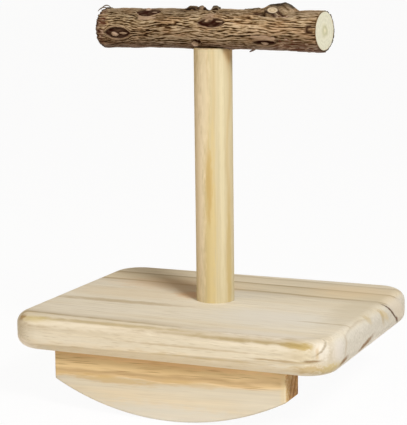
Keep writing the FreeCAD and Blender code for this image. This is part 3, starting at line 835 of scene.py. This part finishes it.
def swell_height(knots):
    """Height of the swelling over the bark, knotty and run into it softly, with the mounds as bells."""
    rise = swelling() - SWELL_BLEND - BARK_RADIUS + KNOT_HEIGHT * knots
    height = np.where(rise > SWELL_LOWEST, np.logaddexp(0, rise / SWELL_BLEND) * SWELL_BLEND, 0)
    for place, (long, wide), high in MOUNDS:
        ahead, aside = from_place(*place)
        height = height + high * np.exp(-(ahead / long) ** 2 - (aside / wide) ** 2)
    return height


def bark_relief():
    """Radius of the bark over the grid and the shares that colour it.

    Strands are the crests of a stretched random field and furrows its troughs, both flattened by a
    hyperbolic tangent. The field is read at places pushed aside round each scar, so that strands part about
    it. The outline's own height counts in full at the top and bottom and fades to nothing at the sides.
    """
    field = {name: smooth_noise(*sizes) for name, sizes in FIELDS.items()}
    ragged = field["ragged"]
    flow = ANGLE * BARK_RADIUS + DRIFT * field["drift"] + WANDER * field["wander"]
    lift = np.zeros((ROWS, COLUMNS))
    shares = {label: np.zeros((ROWS, COLUMNS)) for label in MARK_COLOURS}
    press_scars(flow, lift, shares, ragged)
    cut_grooves(lift, shares)
    raise_flakes(lift, shares, ragged)
    rub_patches(shares, ragged, field["specks"])

    swell_share = ease(swelling() - BARK_RADIUS, 0, 1)
    flow += SWELL_SLANT * (ALONG - SWELL_PLACE) * swell_share
    strands = COARSE * read_across(field["strands"], flow) + FINE * field["fine"]
    streaks = STREAK_HEIGHT * read_across(field["streaks"], flow)
    depth = np.clip(CREST_MEAN + CREST_SPREAD * field["depth"], *CREST_LIMITS)
    contrast = CONTRAST + LEFT_CONTRAST * ease(ALONG, *CONTRAST_PLACES)
    ridge = 0.5 + 0.5 * np.tanh(contrast * strands + CREST_BIAS)
    ridge += (SWELL_TONE - ridge) * SWELL_EVENING * swell_share
    bare = np.maximum(np.maximum(shares["scar"], shares["nub"]), LIP_BARENESS * shares["lip"])
    bare = np.clip(bare, 0, 1)

    upward = np.sin(ANGLE)
    top, underside = (np.interp(ALONG, *zip(*line)) for line in (TOP_LINE, UNDERSIDE))
    outline = np.where(upward > 0, top, underside) * np.abs(upward)
    radius = BARK_RADIUS - FURROW_FLOOR + (CREST_HEIGHT * depth * ridge + streaks) * (1 - bare)
    radius += BARE_HEIGHT * bare + lift + WAVE_HEIGHT * field["waves"] + outline
    swell = swell_height(field["knots"])
    radius = np.maximum(radius + swell, WOOD_RADIUS + 2 * GLUE_GAP)
    collar, cut, stub_end = stub_collar()
    radius += np.where(stub_end > radius, collar, cut) * (stub_end - radius)

    strip = ease(np.abs(from_place(SWELL_PLACE, CRUST_ANGLE)[1]), *CRUST_STRIP)
    uneven = CRUST_RAGGEDNESS * ragged
    raise_share(shares, "crust", SWELL_CRUST * ease(swell + uneven, *CRUST_HEIGHTS) * strip)
    raise_share(shares, "crust", COLLAR_DARKENING * cut)
    shares["crust"][-1] = RIGHT_RIM_CRUST * (1 - np.cos(ANGLE[0]))
    raise_share(shares, "crust", LEFT_RIM_CRUST * ease(ALONG + uneven, *LEFT_RIM))
    ridge = (ridge + streaks) * (1 - bare) + BARE_TONE * bare
    ridge[[0, -1]] = RIM_TONE
    mottle = np.clip(SCAR_TONE + SCAR_MOTTLE * ragged, SCAR_LEAST, 1)
    shares["scar"] *= mottle * (1 - shares["nub"])
    shares["raw"] *= 1 - CREST_COVER * ridge
    shares["lip"] *= LIP_TONE
    return radius, {"ridge": ridge, **shares}


def on_branch(along, angle, radius):
    """Points of the branch in metres from mm along it, an angle up from the front, and mm from its axis."""
    along, angle, radius = np.broadcast_arrays(along, angle, radius)
    front, up = radius * np.cos(angle), radius * np.sin(angle)
    points = along[..., None] * np.array(BRANCH_ALONG) + front[..., None] * np.array(BRANCH_FRONT)
    points = (points + up[..., None] * np.array(BRANCH_UP)) * MM
    points[..., 2] += BRANCH_HEIGHT
    return points


def closed_grid_faces(rows, columns):
    """Quads of a grid that closes on itself both ways, as a ring does."""
    row, column = np.meshgrid(np.arange(rows), np.arange(columns), indexing="ij")
    next_row, next_column = (row + 1) % rows, (column + 1) % columns
    corners = [row * columns + column, row * columns + next_column,
               next_row * columns + next_column, next_row * columns + column]
    return np.stack(corners, axis=-1).reshape(-1, 4)


def new_piece(name, points, faces, material, body, shares=None):
    """A mesh piece from arrays of points and faces, with its colouring shares, finish and body."""
    mesh = bpy.data.meshes.new(name)
    mesh.from_pydata(points.reshape(-1, 3), [], faces)
    for label, values in (shares or {}).items():
        attribute = mesh.attributes.new(label, "FLOAT", "POINT")
        attribute.data.foreach_set("value", values.astype(np.float32).ravel())
    mesh.materials.append(material)
    mesh.shade_smooth()
    piece = new_object(name, mesh)
    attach(piece, body)
    return piece


def tube(path, radius, sides=48):
    """Points and faces of a closed round bar: a circle about each point of a path, and two flat ends."""
    path = np.asarray(path, float)
    ahead = np.gradient(path, axis=0)
    ahead /= np.linalg.norm(ahead, axis=1, keepdims=True)
    aside = np.eye(3)[np.argmin(np.abs(path[-1] - path[0]))]
    first = np.cross(aside, ahead)
    first /= np.linalg.norm(first, axis=1, keepdims=True)
    second = np.cross(ahead, first)
    turn = np.linspace(0, 2 * math.pi, sides, endpoint=False)[None, :, None]
    rings = first[:, None] * np.cos(turn) + second[:, None] * np.sin(turn)
    points = path[:, None] + rings * np.broadcast_to(radius, len(path))[:, None, None]
    step = np.arange(sides)
    following = (step + 1) % sides
    wall = np.stack([step, following, following + sides, step + sides], axis=-1)
    walls = (wall + sides * np.arange(len(path) - 1)[:, None, None]).reshape(-1, 4).tolist()
    last = sides * (len(path) - 1)
    return points.reshape(-1, 3), walls + [step[::-1].tolist(), (step + last).tolist()]


def cut_away(piece, points, faces):
    """Cuts a closed shape out of a piece for good."""
    mesh = bpy.data.meshes.new("cutter")
    mesh.from_pydata(points, [], faces)
    cutter = new_object("cutter", mesh)
    modifier = piece.modifiers.new("cut", "BOOLEAN")
    modifier.operation = "DIFFERENCE"
    modifier.solver = "EXACT"
    modifier.object = cutter
    evaluated = piece.evaluated_get(bpy.context.evaluated_depsgraph_get())
    piece.data = bpy.data.meshes.new_from_object(evaluated)
    piece.modifiers.clear()
    bpy.data.objects.remove(cutter)


def above_post(*heights):
    """Points on the post's axis in metres, from heights in mm over the branch's axis."""
    return [(0, 0, BRANCH_HEIGHT + height * MM) for height in heights]


def along_stub(*lengths):
    """Points on the stub's axis in metres, from lengths in mm from its root on the branch's axis."""
    along, front, up = stub_lean()
    lean = BRANCH_ALONG * along + BRANCH_FRONT * front + BRANCH_UP * up
    root = BRANCH_ALONG * (STUB_ROOT * MM) + Vector((0, 0, BRANCH_HEIGHT))
    return [root + lean * (length * MM) for length in lengths]


def make_bark(material):
    """The bark as a closed sleeve: the relief outside, and a plain wall a glue gap off the wood inside."""
    radius, shares = bark_relief()
    inner = np.full((1, COLUMNS), WOOD_RADIUS + GLUE_GAP)
    rows = np.concatenate([inner, radius, inner])
    along = np.concatenate([ALONG[:1], ALONG, ALONG[-1:]])
    points = on_branch(along, ANGLE, rows)
    framed = {label: np.concatenate([values[:1], values, values[-1:]]) for label, values in shares.items()}
    faces = closed_grid_faces(ROWS + 2, COLUMNS)
    piece = new_piece("branch_bark", points, faces, material, "perch", framed)
    cut_away(piece, *tube(above_post(COUNTERBORE_FLOOR, 2 * BARK_RADIUS), COUNTERBORE_RADIUS * MM))
    cut_away(piece, *tube(above_post(-2 * BARK_RADIUS, SEAT_LEVEL), SEAT_RADIUS * MM))
    cut_away(piece, *tube(along_stub(WOOD_RADIUS / 2, 2 * STUB_LENGTH), (STUB_RADIUS + GLUE_GAP) * MM))
    piece.data.set_sharp_from_angle(angle=SHARP_ANGLE)
    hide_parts("perch_bark")
    return piece


def make_fibre(name, places, radius, material):
    """A loose fibre: a round bar along the quadratic curve that three places steer, thinning to its ends."""
    share = np.linspace(0, 1, FIBRE_POINTS)[:, None]
    first, middle, last = (on_branch(along, math.radians(angle), reach) for along, angle, reach in places)
    path = (1 - share) ** 2 * first + 2 * share * (1 - share) * middle + share ** 2 * last
    arch = np.sin(math.pi * np.linspace(*FIBRE_ARCH, FIBRE_POINTS))
    taper = radius * MM * (FIBRE_THINNEST + (1 - FIBRE_THINNEST) * arch)
    points, faces = tube(path, taper, FIBRE_SIDES)
    tone = {"ridge": np.full(len(points), FIBRE_TONE)}
    return new_piece(name, points, faces, material, "perch", tone)


def finish_nodes(material, *names):
    """Gives CAD nodes that stay in sight their finish."""
    for name in names:
        slots = frame["nodes"][name].data.materials
        slots.clear()
        slots.append(material)


def direction(azimuth, height):
    """Direction towards a thing that stands at an azimuth from the front and at a height, both angles."""
    return Vector((math.sin(azimuth) * math.cos(height), -math.cos(azimuth) * math.cos(height),
                   math.sin(height)))


def make_camera():
    """The camera at the picture's own view; it moves aside, and its lens stays, to set its aim off centre."""
    back = direction(CAMERA_YAW, CAMERA_PITCH)
    level = Vector((math.cos(CAMERA_YAW), math.sin(CAMERA_YAW), 0))
    right = level * math.cos(CAMERA_ROLL) + back.cross(level) * math.sin(CAMERA_ROLL)
    up = back.cross(right)
    lens = bpy.data.cameras.new("camera")
    lens.sensor_width = SENSOR_WIDTH
    lens.lens = FOCAL_PIXELS * SENSOR_WIDTH / PICTURE_LONG_SIDE
    camera = new_object("camera", lens)
    camera.matrix_world = Matrix((right, up, back)).transposed().to_4x4()
    camera.location = CAMERA_AIM + back * CAMERA_DISTANCE - right * AIM_RIGHT - up * AIM_UP
    bpy.context.scene.camera = camera


# Studio: a small softbox at the front right, a wide weak one at the front left, even light all round, and a
# floor that reads as white. A softbox has an azimuth, a height, a distance and a side in metres, watts and
# a colour
SOFTBOXES = {
    "key": (math.radians(50), math.radians(38), 1.3, 0.34, 16.8, "#FAFBFF"),
    "fill": (math.radians(-40), math.radians(30), 1.6, 1.0, 5.5, "#FFE8C2"),
}
AROUND_COLOUR = "#FFE2B8"
AROUND_STRENGTH = 0.18
WHITE = "#FFFFFF"
FLOOR_COLOUR = "#F0EDE8"
FLOOR_SIDE = 40.0
FLOOR_WHITE_SHARE = 0.95


def seen_directly(tree):
    """1 for rays from the camera, from a gloss or through glass, which all see the plain white setting."""
    path = add(tree, "ShaderNodeLightPath")
    glossy = add(tree, "ShaderNodeMath", {0: path.outputs["Is Camera Ray"], 1: path.outputs["Is Glossy Ray"]},
                 operation="MAXIMUM")
    return add(tree, "ShaderNodeMath", {0: glossy.outputs[0], 1: path.outputs["Is Transmission Ray"]},
               operation="MAXIMUM").outputs[0]


def make_studio():
    """Softboxes, surrounding light and floor."""
    for name, (azimuth, height, distance, side, power, code) in SOFTBOXES.items():
        lamp = bpy.data.lights.new(name, "AREA")
        lamp.size = side
        lamp.energy = power
        lamp.color = linear(code)[:3]
        softbox = new_object(name, lamp)
        towards = direction(azimuth, height)
        softbox.location = CAMERA_AIM + towards * distance
        softbox.rotation_euler = towards.to_track_quat("Z", "Y").to_euler()
    world = bpy.data.worlds.new("studio")
    bpy.context.scene.world = world
    world.use_nodes = True
    tree = world.node_tree
    tree.nodes.clear()
    around = add(tree, "ShaderNodeBackground", {"Color": AROUND_COLOUR, "Strength": AROUND_STRENGTH})
    white = add(tree, "ShaderNodeBackground", {"Color": WHITE, "Strength": 1.0})
    sky = add(tree, "ShaderNodeMixShader", {
        0: seen_directly(tree), 1: around.outputs[0], 2: white.outputs[0]})
    add(tree, "ShaderNodeOutputWorld", {"Surface": sky.outputs[0]})
    mesh = bpy.data.meshes.new("floor")
    half = FLOOR_SIDE / 2
    corners = [(-half, -half, 0), (half, -half, 0), (half, half, 0), (-half, half, 0)]
    mesh.from_pydata(corners, [], [(0, 1, 2, 3)])
    floor = new_object("floor", mesh)
    material, tree, shader = new_material("pale_floor")
    fill(tree, shader, {"Base Color": FLOOR_COLOUR, "Roughness": 0.9})
    glow = add(tree, "ShaderNodeEmission", {"Color": WHITE, "Strength": 1.0})
    share = add(tree, "ShaderNodeMath", {0: seen_directly(tree), 1: FLOOR_WHITE_SHARE}, operation="MULTIPLY")
    mixed = add(tree, "ShaderNodeMixShader", {0: share.outputs[0], 1: shader.outputs[0], 2: glow.outputs[0]})
    output = next(node for node in tree.nodes if node.type == "OUTPUT_MATERIAL")
    fill(tree, output, {"Surface": mixed.outputs[0]})
    mesh.materials.append(material)


bpy.context.scene.view_settings.view_transform = "Standard"
make_camera()
make_studio()

finish_nodes(pine("board_pine", BOARD_LOG), "base_board")
finish_nodes(pine("front_rocker_pine", ROCKER_LOG), "front_rocker")
finish_nodes(pine("rear_rocker_pine", REAR_LOG), "rear_rocker")
finish_nodes(pine("post_pine", POST_LOG), "post")
finish_nodes(zinc(), "post_screw", "perch_screw", "perch_washer")
finish_nodes(beech(), "front_rocker_dowels", "rear_rocker_dowels")
finish_nodes(branch_wood(), "perch_wood")
bark_finish = bark()
make_bark(bark_finish)
for number, (places, fibre_radius) in enumerate(LOOSE_FIBRES, 1):
    make_fibre(f"loose_fibre_{number}", places, fibre_radius, bark_finish)
